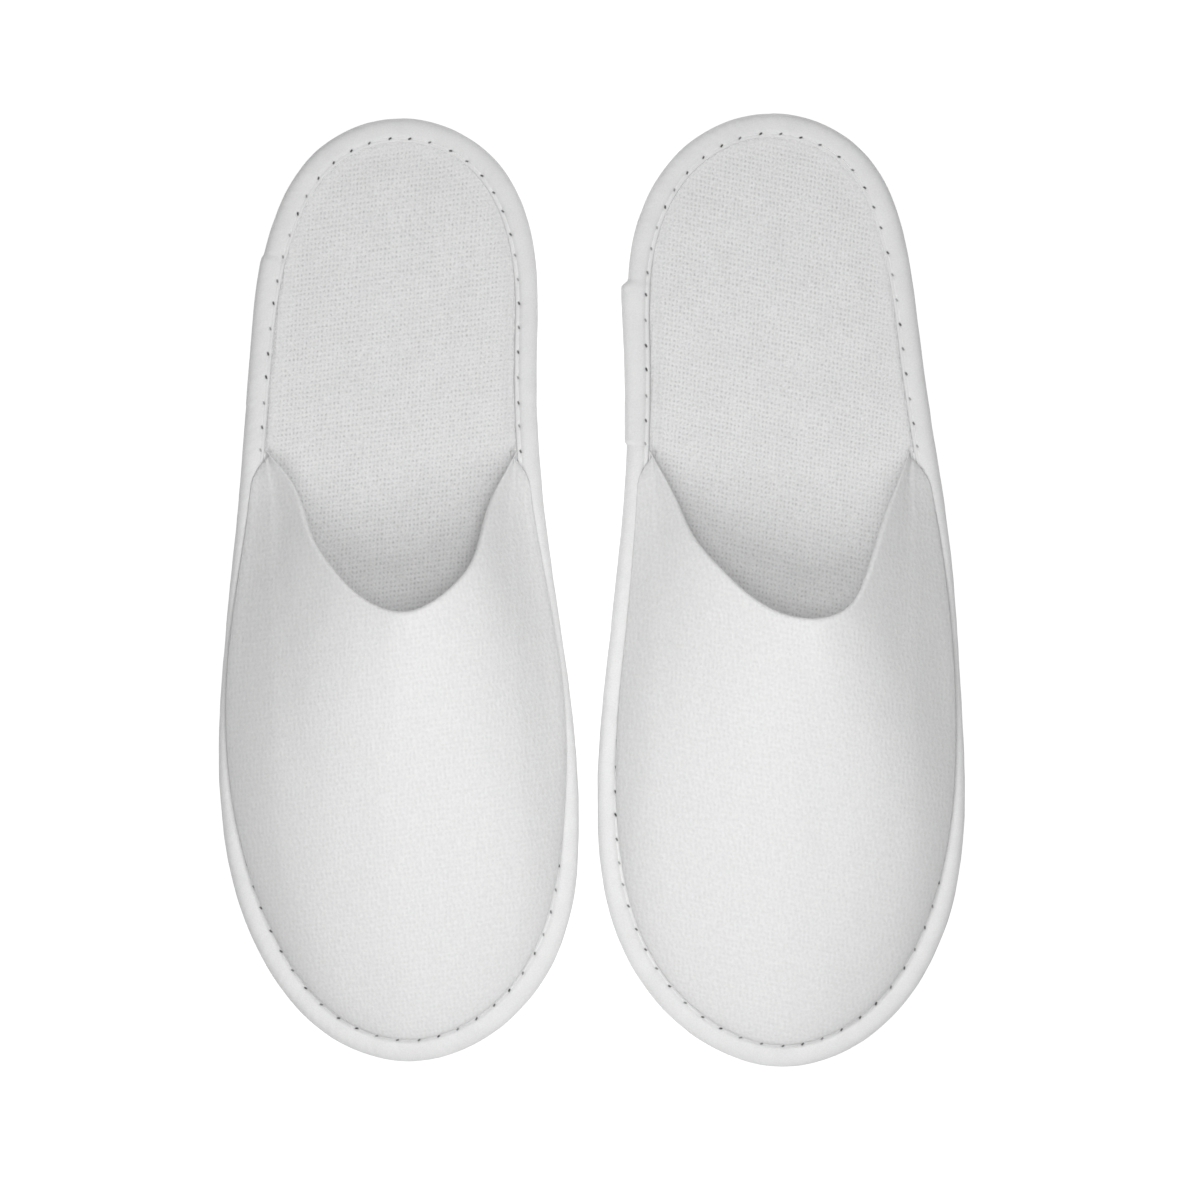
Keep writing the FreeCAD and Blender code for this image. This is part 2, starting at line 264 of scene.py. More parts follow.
RIGHT_WEAVE = Lattice(*LOOP_PITCHES, *RIGHT_SLANTS)
LEFT_WEAVE = Lattice(*LOOP_PITCHES, *LEFT_SLANTS)
RIGHT = Slipper("right", RIGHT_OUTLINE, RIGHT_THROAT, RIGHT_LAP, RIGHT_BULGES, RIGHT_WEAVE)
LEFT = Slipper("left", LEFT_OUTLINE, LEFT_THROAT, LEFT_LAP, LEFT_BULGES, LEFT_WEAVE)


# ---- Meshes -------------------------------------------------------------------------


def new_piece(name, slipper, points, faces, material, replaced):
    """A mesh of millimetre points as a piece of the slipper, in place of its CAD nodes."""
    mesh = bpy.data.meshes.new(name)
    placed = (np.asarray(points, float) + slipper.shift) * MM
    mesh.from_pydata(placed.tolist(), [], faces)
    mesh.update()
    mesh.shade_smooth()
    piece = bpy.data.objects.new(name, mesh)
    bpy.context.scene.collection.objects.link(piece)
    mesh.materials.append(material)
    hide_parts(*replaced)
    return piece


def keep_values(piece, name, values):
    """Store one value for each point of the piece, for its material to read."""
    kept = piece.data.attributes.new(name, "FLOAT", "POINT")
    kept.data.foreach_set("value", np.asarray(values, np.float32).ravel())


def bend_at_ball(piece):
    """Bakes the piece's placement into its mesh points."""
    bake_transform(piece)


def strip_faces(columns, rows, closed_columns, closed_rows):
    """The quads of a grid of points, numbered column by column."""
    faces = []
    for i in range(columns if closed_columns else columns - 1):
        for j in range(rows if closed_rows else rows - 1):
            a = i * rows + j
            b = ((i + 1) % columns) * rows + j
            c = ((i + 1) % columns) * rows + (j + 1) % rows
            d = i * rows + (j + 1) % rows
            faces.append((a, b, c, d))
    return faces


def lattice_sheet(slipper, lattice, fineness, edge_inset, fine_side, plain_height, plain_is_under):
    """Points and faces of a sheet cut to the outline, with one side shaped on a lattice.

    fine_side gives heights from x, y, the inset, and the lattice column and row; the other side
    is flat, in one strip for each row.
    """
    reach = 170.0  # further than the outline is from its centre
    side = int(reach / np.linalg.norm(lattice.steps, axis=1).min() * fineness)
    column, row = np.meshgrid(np.arange(-side, side + 1), np.arange(-side, side + 1), indexing="ij")
    centre = slipper.rim.points.mean(axis=0)
    plan = lattice.plan(centre, column / fineness, row / fineness)
    low = slipper.rim.points.min(axis=0)
    high = slipper.rim.points.max(axis=0)
    near = ((plan > low) & (plan < high)).all(axis=-1)
    inset = np.full(column.shape, -1.0)
    inset[near] = slipper.inset_of(plan[near][:, 0], plan[near][:, 1])
    used = inset > edge_inset
    cell = used[:-1, :-1] & used[1:, :-1] & used[:-1, 1:] & used[1:, 1:]
    around = np.pad(cell, 1)
    touching = np.stack([around[:-1, :-1], around[1:, :-1], around[:-1, 1:], around[1:, 1:]])
    kept = touching.any(axis=0)
    rim = kept & ~touching.all(axis=0)
    x, y = plan[kept].T
    shaped = np.stack([x, y, fine_side(x, y, inset[kept], column[kept], row[kept])], axis=-1)
    flat_side = np.column_stack([plan[rim], np.full(rim.sum(), plain_height)])
    number = np.full(kept.shape, -1)
    number[kept] = np.arange(kept.sum())
    flat_number = np.full(kept.shape, -1)
    flat_number[rim] = np.arange(rim.sum()) + kept.sum()

    p, q = np.nonzero(cell)
    corners = [number[p, q], number[p + 1, q], number[p + 1, q + 1], number[p, q + 1]]
    faces = np.stack(corners, axis=-1).tolist()
    for j in np.flatnonzero(cell.any(axis=0)):
        in_row = np.flatnonzero(cell[:, j])
        span = np.arange(in_row[0], in_row[-1] + 2)
        lower = flat_number[span, j]
        upper_row = flat_number[span, j + 1][::-1]
        strip = [n for n in lower if n >= 0] + [n for n in upper_row if n >= 0]
        faces.append(strip[::-1])
    for step, first, second in (
        ((0, -1), (0, 0), (1, 0)),
        ((1, 0), (1, 0), (1, 1)),
        ((0, 1), (1, 1), (0, 1)),
        ((-1, 0), (0, 1), (0, 0)),
    ):
        low_p = 1 + step[0]
        low_q = 1 + step[1]
        beside = around[low_p : low_p + cell.shape[0], low_q : low_q + cell.shape[1]]
        p, q = np.nonzero(cell & ~beside)
        a = (p + first[0], q + first[1])
        b = (p + second[0], q + second[1])
        faces += np.stack([number[b], number[a], flat_number[a], flat_number[b]], axis=-1).tolist()
    if not plain_is_under:
        faces = [face[::-1] for face in faces]
    return np.vstack([shaped, flat_side]), faces


# ---- Materials ----------------------------------------------------------------------

HOLE = "needle_hole"  # 1 where the needle went through the tape
PRESSED = "pressed_flat"  # 1 where the footbed's loops lie flat
RIB_PITCH = 1.55
RIB_LEAN = 12


class Shader:
    """A material under construction, with short ways to add nodes."""

    def __init__(self, name, colour, roughness):
        self.material = bpy.data.materials.new(name)
        self.material.use_nodes = True
        self.nodes = self.material.node_tree.nodes
        self.links = self.material.node_tree.links
        self.surface = self.nodes["Principled BSDF"]
        self.surface.inputs["Base Color"].default_value = (*colour, 1)
        self.surface.inputs["Roughness"].default_value = roughness
        self.surface.inputs["Specular IOR Level"].default_value = 0.2

    def add(self, kind, inputs=(), **settings):
        node = self.nodes.new("ShaderNode" + kind)
        for key, value in settings.items():
            setattr(node, key, value)
        for key, value in dict(inputs).items():
            if isinstance(value, bpy.types.NodeSocket):
                self.links.new(value, node.inputs[key])
            else:
                node.inputs[key].default_value = value
        return node

    def maths(self, operation, a, b=0.0, c=0.0):
        return self.add("Math", {0: a, 1: b, 2: c}, operation=operation).outputs[0]

    def place(self, scale=(1, 1, 1)):
        """Millimetre coordinates of the piece at rest, stretched."""
        coordinates = self.add("TexCoord").outputs["Object"]
        return self.add("Mapping", {"Vector": coordinates, "Scale": [s / MM for s in scale]}).outputs[0]

    def along(self, direction, offset=0.0):
        """How far each point lies along a plan direction, whose length is the scale per mm."""
        coordinates = self.add("TexCoord").outputs["Object"]
        inputs = {0: coordinates, 1: (direction[0] / MM, direction[1] / MM, 0)}
        dot = self.add("VectorMath", inputs, operation="DOT_PRODUCT").outputs["Value"]
        return self.maths("ADD", dot, offset)

    def wave(self, value):
        """Runs from 0 to 1 and back once for every whole step of the value, and is 1 at whole numbers."""
        turned = self.maths("COSINE", self.maths("MULTIPLY", value, 2 * math.pi))
        return self.maths("MULTIPLY_ADD", turned, 0.5, 0.5)

    def noise(self, vector, scale, detail=2.0, roughness=0.5):
        inputs = {"Vector": vector, "Scale": scale, "Detail": detail, "Roughness": roughness}
        return self.add("TexNoise", inputs).outputs["Fac"]

    def tone(self, value, low, high, dark, light):
        """A grey running from dark to light as the value runs from low to high."""
        inputs = {"Value": value, "From Min": low, "From Max": high, "To Min": dark, "To Max": light}
        return self.add("MapRange", inputs).outputs[0]

    def painted_outer_shade(self, grey, slipper, share):
        """Painted shade: cloth that falls away to the outer side is made darker, by up to the share, for the
        lesser light on the outer sides.
        """
        outer = -1 if slipper.side == "right" else 1
        across = self.add("SeparateXYZ", {0: self.add("TexCoord").outputs["Normal"]}).outputs["X"]
        tilt = self.maths("MULTIPLY", across, outer)
        return self.maths("MULTIPLY", grey, self.tone(tilt, 0.0, 0.9, 1.0, 1 - share))

    def colour(self, grey):
        mix = self.add("CombineColor", {"Red": grey, "Green": grey, "Blue": grey})
        self.links.new(mix.outputs[0], self.surface.inputs["Base Color"])

    def bump(self, height, depth):
        """Relief of a depth in millimetres."""
        node = self.add("Bump", {"Height": height, "Distance": depth * MM, "Strength": 1.0})
        self.links.new(node.outputs[0], self.surface.inputs["Normal"])

    def sheen(self, weight, roughness=0.5):
        self.surface.inputs["Sheen Weight"].default_value = weight
        self.surface.inputs["Sheen Roughness"].default_value = roughness


def lattice_wave(shader, slipper):
    """1 in the gaps between the loops of the slipper's terry, and near 0 on the loops."""
    centre = slipper.rim.points.mean(axis=0) + slipper.shift[:2]
    offset = -(centre @ slipper.weave.inverse)
    column = shader.along(slipper.weave.inverse[:, 0], offset[0])
    row = shader.along(slipper.weave.inverse[:, 1], offset[1])
    sway = shader.noise(shader.place(), 0.35, 1.0)
    column = shader.maths("MULTIPLY_ADD", sway, 0.35, column)
    return shader.maths("MULTIPLY", shader.wave(column), shader.wave(row))


def terry_loops(slipper):
    shader = Shader(f"terry_loops_{slipper.side}", (0.84, 0.84, 0.84), 0.95)
    gap = lattice_wave(shader, slipper)
    fuzz = shader.noise(shader.place(), 1.5, 4.0, 0.75)
    patch = shader.noise(shader.place(), 0.09, 2.0)
    pile = shader.maths("MULTIPLY_ADD", patch, 0.15, fuzz)
    grey = shader.tone(pile, 0.3, 0.85, 0.715, 0.945)
    flat = shader.add("Attribute", attribute_name=PRESSED).outputs["Fac"]
    # painted shade: the footbed is up to 3.5% darker in the band beside the tape, where its loops lie flat
    grey = shader.maths("MULTIPLY", grey, shader.tone(flat, 0.0, 1.0, 1.0, 0.965))
    # painted shade: the gaps between the loops are darkened, less where the fuzz is high and where the loops
    # lie flat
    painted_gap_shade = shader.maths("MULTIPLY", gap, shader.tone(fuzz, 0.35, 0.65, 0.24, 0.0))
    painted_gap_shade = shader.maths("MULTIPLY", painted_gap_shade, shader.tone(flat, 0.0, 1.0, 1.0, 0.3))
    shader.colour(shader.maths("SUBTRACT", grey, painted_gap_shade))
    shader.bump(shader.maths("SUBTRACT", fuzz, gap), 0.1)
    shader.sheen(0.15)
    return shader.material


def velour(slipper):
    shader = Shader(f"velour_{slipper.side}", (0.86, 0.86, 0.86), 0.95)
    sway = shader.noise(shader.place(), 0.12, 2.0)
    lean = math.radians(RIB_LEAN)
    across = shader.along((math.cos(lean) / RIB_PITCH, math.sin(lean) / RIB_PITCH))
    ribs = shader.wave(shader.maths("MULTIPLY_ADD", sway, 2.5, across))
    nap = shader.noise(shader.place(), 0.9, 3.0, 0.65)
    mixed = shader.maths("MULTIPLY_ADD", ribs, 0.12, nap)
    mixed = shader.maths("MULTIPLY_ADD", lattice_wave(shader, slipper), -0.16, mixed)
    grey = shader.tone(mixed, 0.3, 0.75, 0.80, 0.895)
    # painted shade: the velour is up to 14% darker where it faces the outer side
    shader.colour(shader.painted_outer_shade(grey, slipper, 0.14))
    shader.bump(mixed, 0.22)
    shader.sheen(0.15)
    return shader.material


def tape_cloth(slipper):
    shader = Shader(f"binding_tape_{slipper.side}", (0.86, 0.86, 0.86), 0.85)
    weave = shader.noise(shader.place(), 2.2, 2.0, 0.5)
    patch = shader.noise(shader.place(), 0.12, 2.0)
    grey = shader.tone(shader.maths("MULTIPLY_ADD", patch, 0.6, weave), 0.5, 1.1, 0.775, 0.86)
    hole = shader.add("Attribute", attribute_name=HOLE).outputs["Fac"]
    # painted shadow: the tape is darkened to near black in the needle holes
    painted_hole_shadow = shader.tone(hole, 0.15, 0.85, 1.0, 0.12)
    # painted shade: the tape is up to 12% darker where it faces the outer side
    shader.colour(shader.maths("MULTIPLY", shader.painted_outer_shade(grey, slipper, 0.12), painted_hole_shadow))
    shader.bump(weave, 0.06)
    shader.sheen(0.1)
    return shader.material


def thread_twist():
    shader = Shader("seam_thread", (0.88, 0.88, 0.88), 0.6)
    shader.bump(shader.noise(shader.place(), 4.0, 1.0), 0.03)
    return shader.material


def lining_knit():
    shader = Shader("upper_lining", (0.88, 0.88, 0.88), 0.9)
    knit = shader.noise(shader.place((1.6, 0.8, 0.8)), 1.0, 2.0)
    shader.colour(shader.tone(knit, 0.3, 0.7, 0.85, 0.90))
    shader.bump(knit, 0.1)
    return shader.material


def foam(name, grey):
    shader = Shader(name, (grey, grey, grey), 0.7)
    pores = shader.noise(shader.place(), 1.4, 3.0, 0.6)
    shader.colour(shader.tone(pores, 0.3, 0.7, grey - 0.02, grey + 0.02))
    shader.bump(pores, 0.06)
    return shader.material


THREAD = thread_twist()
KNIT = lining_knit()
EVA = foam("eva_outsole", 0.82)
FOAM = foam("soft_foam", 0.8)


# ---- Sole ---------------------------------------------------------------------------

TREAD = Lattice(4.0, 4.0, 45, 45)
PLAIN = Lattice(3.0, 3.0, 0, 0)


def outsole(slipper):
    """The EVA sheet, with a moulded tread of shallow crossed grooves underneath."""

    def tread(x, y, inset, column, row):
        groove = np.maximum(np.cos(math.pi * column / 2), np.cos(math.pi * row / 2))
        inside = ease((inset - TAPE_LIP - 0.5) / 1.5)
        return np.where(inside > 0, TREAD_DEPTH * np.clip(groove, 0, 1) * inside, TAPE_THICKNESS + 0.05)

    points, faces = lattice_sheet(slipper, TREAD, 4, SOLE_INSET, tread, OUTSOLE_TOP, False)
    names = [f"{slipper.side}_outsole", f"{slipper.side}_outsole_toe"]
    piece = new_piece(f"{slipper.side}_outsole_sheet", slipper, points, faces, EVA, names)
    bend_at_ball(piece)


def insole_foam(slipper):
    def level(x, y, inset, column, row):
        return np.full(x.shape, INSOLE_TOP)

    under = OUTSOLE_TOP + SHEET_GAP
    points, faces = lattice_sheet(slipper, PLAIN, 1, SOLE_INSET, level, under, True)
    names = [f"{slipper.side}_insole_foam", f"{slipper.side}_insole_foam_toe"]
    piece = new_piece(f"{slipper.side}_insole_sheet", slipper, points, faces, FOAM, names)
    bend_at_ball(piece)


def pressed(inset):
    """1 where the tape has pressed the footbed's loops flat."""
    return ease((TAPE_LIP + 4.5 - inset) / 3.5)


def footbed(slipper):
    """The terry sheet, with its loops as real relief and a step down under the upper's edge."""

    def loops(x, y, inset, column, row):
        gap = (column % 2 == 0) * 0.5 + (row % 2 == 0) * 0.5
        ragged = np.random.RandomState(6).uniform(-0.13, 0.13, x.shape)
        loop = -LOOP_HEIGHT * (gap**1.5 + ragged) * (1 - 0.6 * pressed(inset))
        crown = 0.5 * ease((inset - TAPE_LIP) / 12.0)
        uneven = 0.2 * patchy(x, y, 22.0, 5) + 0.12 * patchy(x, y, 5.0, 8)
        by_lip = 0.4 * ease((TAPE_LIP + 3.0 - inset) / 2.5)
        under_tape = 1.15 * ease((TAPE_LIP - 0.1 - inset) / 0.7)
        kept = TAIL_THINNING + (1 - TAIL_THINNING) * ease((TAIL_Y - y) / 40.0)
        under_upper = (y < TAIL_Y - RECESS_START) * (inset < WALL_INSET + UPPER * kept + 0.3)
        level = crown + uneven + by_lip - under_tape
        return FOOTBED_TOP + loop + level * (1 - under_upper) - FLANGE * under_upper

    under = INSOLE_TOP + SHEET_GAP
    points, faces = lattice_sheet(slipper, slipper.weave, 2, FOOTBED_INSET, loops, under, True)
    names = [f"{slipper.side}_footbed", f"{slipper.side}_footbed_toe"]
    cloth = terry_loops(slipper)
    piece = new_piece(f"{slipper.side}_terry_footbed", slipper, points, faces, cloth, names)
    keep_values(piece, PRESSED, pressed(slipper.inset_of(points[:, 0], points[:, 1])))
    cut = slipper.rim_at(slipper.rim.distance, np.full(slipper.rim.distance.shape, FOOTBED_INSET))
    bend_at_ball(piece)


# ---- Tape and seam ------------------------------------------------------------------


def stitch_places(slipper):
    """Distances along the outline of the needle holes, a little uneven."""
    count = round(slipper.rim.length / STITCH_PITCH)
    pitch = slipper.rim.length / count
    wander = np.random.RandomState(3).uniform(-0.07, 0.07, count)
    return (np.arange(count) + 0.5 + wander) * pitch


def seam_shift(slipper, along):
    """What is added to the seam's inset, which is a little smaller along the sides."""
    y = slipper.rim.at(np.asarray(along) % slipper.rim.length)[..., 1]
    return -0.7 * ease((118 - np.abs(y)) / 40) + 0.25 * patchy(np.asarray(along), y * 0, 37.0, 31)


def tape_profile():
    """Inset and height round the tape's section: the top lip, the roll, the bottom, then back inside.

    The last value is how many of the points are on the outside.
    """
    top_lip = np.array([7.5, 7.35, 7.15, 6.95, 6.8, 6.65, 6.5, 6.4, 6.3, 6.2, 6.1, 5.95, 5.8, 5.6, 5.3, 5.0])
    lip_height = np.array(
        [8.2, 8.56, 8.76, 8.84, 8.84, 8.82, 8.79, 8.77, 8.76, 8.77, 8.8, 8.88, 8.96, 9.06, 9.15, 9.2]
    )
    around = np.radians(np.linspace(84, -84, 22))
    width = np.where(around > 0, 4.4, 3.6)
    roll_inset = width * (1 - np.cos(around) ** SQUARENESS)
    reach = np.where(around > 0, 4.7, 4.5)
    roll_height = TAPE_MIDDLE + reach * np.sign(around) * np.abs(np.sin(around)) ** SQUARENESS
    bottom_inset = np.array([4.6, 5.3, 5.9, 6.1, 6.3, 6.5, 6.7, 7.1, 7.5])
    bottom_height = np.array([0.0, 0.0, 0.03, 0.12, 0.2, 0.12, 0.03, 0.0, 0.12])
    back_inset = np.array([7.45, 5.5, 4.2, 2.9, 1.8, 1.1, 0.85, 1.1, 1.8, 2.9, 4.2, 5.5, 6.3, 7.45])
    back_height = np.array([0.72, 0.8, 0.85, 1.1, 1.8, 3.0, 4.5, 6.0, 7.2, 7.95, 8.25, 8.25, 7.95, 7.7])
    inset = np.concatenate([top_lip, roll_inset, bottom_inset, back_inset])
    height = np.concatenate([lip_height, roll_height, bottom_height, back_height])
    return inset, height, len(inset) - len(back_inset)


def edge_binding(slipper):
    """The folded tape, drawn in by every stitch and thicker where its ends lap."""
    inset, height, outside = tape_profile()
    holes = stitch_places(slipper)
    close_by = np.array([0.22, 0.45, 0.65, 0.9, 1.3, 1.9])
    near = np.concatenate([[-3.4, -2.6], -close_by[::-1], [0.0], close_by, [2.8]])
    along = (holes[:, None] + near[None]).ravel()
    from_hole = np.tile(near, len(holes))[:, None]
    on_outside = (np.arange(len(inset)) < outside)[None]
    top_side = on_outside & (height > TAPE_MIDDLE)[None]
    under_side = on_outside & (height <= TAPE_MIDDLE)[None]
    across = (inset - SEAM_INSET)[None]
    slant = math.radians(STITCH_SLANT)
    long_way = from_hole * math.cos(slant) + across * math.sin(slant)
    short_way = across * math.cos(slant) - from_hole * math.sin(slant)
    hole = np.exp(-((long_way / HOLE_LENGTH) ** 4)) * np.exp(-((short_way / HOLE_WIDTH) ** 4))
    how_open = np.random.RandomState(4).uniform(0.55, 1.0, len(holes))
    hole = hole * np.repeat(how_open, len(near))[:, None]
    drawn = np.exp(-((from_hole / 1.8) ** 2)) * np.exp(-((across / 1.1) ** 2))
    plan = slipper.rim_at(along, np.zeros(along.shape))
    lap_low, lap_high, swell = slipper.lap
    on_lap_side = plan[:, 0] < slipper.rim.points[:, 0].mean()
    y = plan[:, 1]
    heel_end = ease((lap_high - y) / LAP_HEEL_RAMP + 0.5)
    toe_end = ease((y - lap_low) / LAP_TOE_RAMP + 0.5)
    lap = on_lap_side * heel_end * toe_end
    lap = lap * (0.35 + 0.65 * np.clip((y - lap_low) / (lap_high - lap_low), 0, 1))
    outer = on_outside * (1 - ease((inset - 2.5) / 3.0))[None]
    fullness = 0.22 * patchy(along, along * 0, 13.0, 11) + 0.1 * patchy(along, along * 0, 4.0, 12)
    creases = 0.05 * np.sin(along[:, None] * 1.9 + inset[None] * 1.3) * (on_outside * (inset > 0.5))
    moved_inset = inset[None] - outer * (swell * lap + 0.5 * fullness)[:, None]
    moved_inset = moved_inset + seam_shift(slipper, along)[:, None] * ease((inset - 3.0) / 2.0)[None]
    moved_height = np.broadcast_to(height[None], moved_inset.shape).copy()
    moved_height += top_side * ((0.45 * lap + 0.6 * fullness)[:, None] * (inset > 0.8) + creases)
    moved_height -= top_side * (0.42 * hole + 0.14 * drawn)
    moved_height += under_side * (0.7 * hole + 0.1 * drawn) * (inset > 5.0)[None]
    points = slipper.rim_at(np.repeat(along, len(inset)), moved_inset.ravel())
    points[:, 2] = np.maximum(moved_height.ravel(), 0.0)
    faces = [face[::-1] for face in strip_faces(len(along), len(inset), True, True)]
    names = [f"{slipper.side}_edge_binding", f"{slipper.side}_edge_binding_toe"]
    cloth = tape_cloth(slipper)
    piece = new_piece(f"{slipper.side}_binding_tape", slipper, points, faces, cloth, names)
    keep_values(piece, HOLE, hole * (on_outside * (inset > 5.0)))
    bend_at_ball(piece)


def seam(slipper, name, surface, into, node):
    """One thread of the seam: a stitch from hole to hole, going into the tape at both ends."""
    holes = stitch_places(slipper)
    following = np.append(holes[1:], holes[0] + slipper.rim.length)
    steps = 13
    sides = 8
    t = np.linspace(0, 1, steps)
    dip = np.exp(-((t / 0.045) ** 2)) + np.exp(-(((1 - t) / 0.045) ** 2))
    points = []
    faces = []
    for start, end in zip(holes, following):
        distance = start + (end - start) * (STITCH_MARGIN + (1 - 2 * STITCH_MARGIN) * t)
        for step, along in enumerate(distance):
            for k in range(sides):
                angle = 2 * math.pi * k / sides
                inset = SEAM_INSET + seam_shift(slipper, along) + THREAD_RADIUS * math.cos(angle)
                point = slipper.rim_at(np.array(along), np.array(inset))
                point[2] = surface + into * STITCH_DIP * dip[step] + THREAD_RADIUS * math.sin(angle)
                points.append(point)
        first = len(points) - steps * sides
        faces += [tuple(first + n for n in reversed(face)) for face in strip_faces(steps, sides, False, True)]
        faces.append(tuple(first + k for k in reversed(range(sides))))
        faces.append(tuple(first + (steps - 1) * sides + k for k in range(sides)))
    names = [f"{slipper.side}_{node}", f"{slipper.side}_{node}_toe"]
    piece = new_piece(f"{slipper.side}_{name}", slipper, points, faces, THREAD, names)
    bend_at_ball(piece)


# ---- Upper --------------------------------------------------------------------------

COLUMNS = 381
LOW_ROWS = 88  # rows from the foot of the wall to the hem
HEM_ROWS = 12
ROLL_ROWS = 12
HEM = 7.0
EDGE_ROWS = 24  # low rows over which the upper starts to thin towards its edge
EDGE_THINNING = 0.6
LAYER_GAP = 0.04


def shares():
    """Places from tail to tail, closer together near the tails."""
    even = np.linspace(0, 1, COLUMNS)
    return even - 0.7 * np.sin(2 * math.pi * even) / (2 * math.pi)


def fan(share):
    to_toe = 1 - np.abs(2 * share - 1)
    reached = (1 - (1 - to_toe) ** FAN_POWER) / 2
    return np.where(share < 0.5, reached, 1 - reached)


def bulge(slipper, share):
    to_toe = 1 - np.abs(2 * share - 1)
    side_bulge = np.where(share < 0.5, slipper.bulges[0], slipper.bulges[1])
    along = TAIL_BULGE + (side_bulge - TAIL_BULGE) * ease(to_toe / BULGE_SETTLES_BY)
    faded = ease((to_toe - BULGE_SETTLES_BY) / (BULGE_FADED_BY - BULGE_SETTLES_BY))
    started = np.sin(np.clip(to_toe / BULGE_STARTS_BY, 0, 1) * math.pi / 2)
    return (along + (TOE_BULGE - along) * faded) * started


def wall_points(slipper, share, step):
    """Points of the upper's outside: share from tail to tail, step from the seam to the opening."""
    share, step = np.broadcast_arrays(share, step)
    distance = slipper.tail_start + (slipper.tail_end - slipper.tail_start) * share
    foot = slipper.rim_at(distance, np.full(share.shape, WALL_INSET))
    inwards = unit(foot - slipper.rim_at(distance, np.zeros(share.shape)))
    top = slipper.throat.at(slipper.throat.length * fan(share))
    rise = (1 - CROWN_STRAIGHTNESS) * np.sqrt(np.maximum(1 - (1 - step) ** 2, 0)) + CROWN_STRAIGHTNESS * step
    swelling = np.abs(np.sin(math.pi * rise**BULGE_LOWNESS)) ** BULGE_POWER
    swell = bulge(slipper, share) * swelling * (1 - step)
    over_tape = OVER_TAPE * ease(swell / 1.1) * (1 - step)
    points = foot + (top - foot) * step[..., None] - inwards * swell[..., None]
    points[..., 2] = FOOTBED_TOP + over_tape + (top[..., 2] - FOOTBED_TOP) * rise
    return points


def thinning(share):
    return TAIL_THINNING + (1 - TAIL_THINNING) * ease(np.minimum(share, 1 - share) / TAIL_SHARE)


class Wall:
    """The upper's outside in rows, from its foot to where its edge starts to roll over."""

    def __init__(self, slipper):
        self.slipper = slipper
        self.share = shares()
        last = np.arange(LOW_ROWS + HEM_ROWS) - LOW_ROWS + EDGE_ROWS
        to_edge = 1 - (1 - EDGE_THINNING) * ease(last / (EDGE_ROWS + HEM_ROWS))
        self.kept = thinning(self.share)[:, None] * to_edge[None]
        self.lip = UPPER * self.kept[:, -1] / 2
        share = self.share[:, None]
        fine = np.linspace(0, 1, 500)[None] ** 1.8
        dense = wall_points(slipper, share, fine)
        steps = np.linalg.norm(np.diff(dense, axis=1), axis=2)
        length = np.concatenate([np.zeros((COLUMNS, 1)), np.cumsum(steps, axis=1)], axis=1)
        top = length[:, -1] - self.lip
        hem_start = top - np.minimum(HEM, 0.35 * top)
        low = np.linspace(0, 1, LOW_ROWS)[None] ** 1.1 * hem_start[:, None]
        hem = hem_start[:, None] + (top - hem_start)[:, None] * np.linspace(0, 1, HEM_ROWS + 1)[None, 1:]
        wanted = np.concatenate([low, hem], axis=1)
        step = np.stack([np.interp(w, row, fine[0]) for w, row in zip(wanted, length)])
        points = wall_points(slipper, share, step)
        up = np.gradient(points, axis=1)
        across = np.gradient(points, axis=0)
        normal = unit(np.cross(across, up))
        level = unit(normal * [1, 1, 0])
        lean = ease(step / 0.17)[..., None]
        self.normal = unit(level * (1 - lean) + normal * lean)
        self.up = unit(points[:, -1] - points[:, -2])
        calm = ease(step / 0.1) * ease(np.minimum(share, 1 - share) / 0.05)
        x, y = points[..., 0], points[..., 1]
        soft = 0.7 * patchy(x, y * 0.4, 17.0, 21) + 0.5 * patchy(x, y, 31.0, 22)
        soft = soft + 0.12 * patchy(x, y, 7.0, 23)
        self.points = points + self.normal * (soft * calm)[..., None]

    def flange(self, depth, squeezed):
        """The squeezed edge of a layer, from under the tape to the foot of the wall."""
        slipper = self.slipper
        distance = slipper.tail_start + (slipper.tail_end - slipper.tail_start) * self.share
        foot = WALL_INSET + depth * self.kept[:, 0]
        fraction = np.linspace(0, 1, FLANGE_ROWS, endpoint=False)[None]
        inset = FLANGE_OUTER_INSET + (foot[:, None] - FLANGE_OUTER_INSET) * fraction
        points = slipper.rim_at(np.repeat(distance, FLANGE_ROWS), inset.ravel())
        points = points.reshape(COLUMNS, FLANGE_ROWS, 3)
        points[..., 2] = FOOTBED_TOP - squeezed
        return points

    def face(self, depth, squeezed, rows=LOW_ROWS + HEM_ROWS):
        """The flange and the wall so deep in the upper; depth may differ from row to row."""
        depths = np.broadcast_to(np.asarray(depth, float), (rows,))
        wall = self.points[:, :rows] - self.normal[:, :rows] * (self.kept[:, :rows] * depths)[..., None]
        return np.concatenate([self.flange(depths[0], squeezed), wall], axis=1)

    def roll(self, outside_depth, inside_depth):
        """The half turn over the opening's edge between two depths."""
        half_turn = np.linspace(0, math.pi, ROLL_ROWS + 2)[1:-1]
        radius = self.kept[:, -1:] * (inside_depth - outside_depth) / 2
        middle = self.kept[:, -1:] * (inside_depth + outside_depth) / 2
        inwards = middle - radius * np.cos(half_turn)
        top = self.points[:, -1][:, None]
        forward = (radius * np.sin(half_turn))[..., None]
        return top - self.normal[:, -1][:, None] * inwards[..., None] + self.up[:, None] * forward

    def hem(self, depth):
        """The hem's face, from the roll back down inside the opening."""
        inwards = self.normal[:, -HEM_ROWS:] * (self.kept[:, -HEM_ROWS:] * depth)[..., None]
        return (self.points[:, -HEM_ROWS:] - inwards)[:, ::-1]


